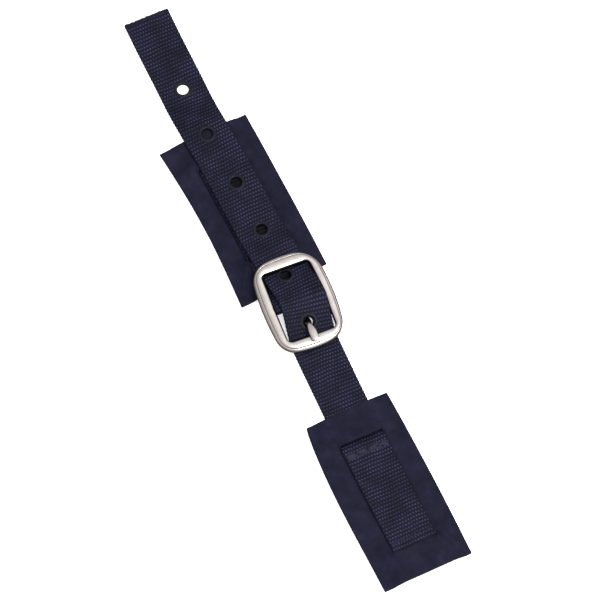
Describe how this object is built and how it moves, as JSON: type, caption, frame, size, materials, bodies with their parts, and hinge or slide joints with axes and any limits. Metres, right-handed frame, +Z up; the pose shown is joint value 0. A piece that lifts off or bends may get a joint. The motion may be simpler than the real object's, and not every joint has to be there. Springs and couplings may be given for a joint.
{
  "type": "saddle girth",
  "caption": "Buckled webbing girth strap with a centre-bar buckle, punched billet and two sewn-on patches.",
  "frame": {"origin": "middle of the whole strap's box, on the surface it lies on", "axes": "+X along the strap from the free end towards the lower patch, +Z up out of the buckle's front"},
  "size_m": [0.3566, 0.055, 0.0117],
  "materials": {
    "webbing_navy": "woven",
    "patch_navy": "matt",
    "nickel_frame": "polished nickel",
    "nickel_tongue": "polished nickel",
    "eyelet_black": "satin",
    "thread_navy": "twisted thread"
  },
  "bodies": {
    "buckle": {"buckle_frame": "nickel_frame", "billet_strap": "webbing_navy", "eyelet_2": "eyelet_black", "eyelet_3": "eyelet_black", "eyelet_4": "eyelet_black", "eyelet_5": "eyelet_black", "eyelet_6": "eyelet_black", "eyelet_washer_2": "eyelet_black", "eyelet_washer_3": "eyelet_black", "eyelet_washer_4": "eyelet_black", "eyelet_washer_5": "eyelet_black", "eyelet_washer_6": "eyelet_black"},
    "tongue": {"buckle_tongue": "nickel_tongue"},
    "upper_end": {"buckle_strap": "webbing_navy", "upper_patch": "patch_navy", "fold_stitch_near": "thread_navy", "fold_stitch_far": "thread_navy", "upper_patch_end_stitch": "thread_navy"},
    "free_end": {"billet_free_end": "webbing_navy", "eyelet_1": "eyelet_black", "eyelet_washer_1": "eyelet_black"},
    "lower_end": {"billet_lower_end": "webbing_navy", "lower_patch": "patch_navy", "lower_patch_tack": "thread_navy", "lower_patch_end_stitch": "thread_navy"}
  },
  "joints": [
    {"name": "tongue_pivot", "type": "hinge", "parent": "buckle", "child": "tongue", "pos_m": [0.00908, 0.00363, 0.0063], "axis": [-0.0785, -0.9969, 0], "range_deg": [0, 4.5]},
    {"name": "upper_end_swing", "type": "hinge", "parent": "buckle", "child": "upper_end", "pos_m": [0.00908, 0.00363, 0.0063], "axis": [-0.0785, -0.9969, 0], "range_deg": [0, 90]},
    {"name": "free_end_bend", "type": "hinge", "parent": "buckle", "child": "free_end", "pos_m": [-0.11342, 0.00363, 0.00293], "axis": [0.0785, 0.9969, 0], "range_deg": [0, 60]},
    {"name": "lower_end_bend", "type": "hinge", "parent": "buckle", "child": "lower_end", "pos_m": [0.05508, 0.00363, 0.00085], "axis": [-0.0785, -0.9969, 0], "range_deg": [-45, 60]}
  ]
}
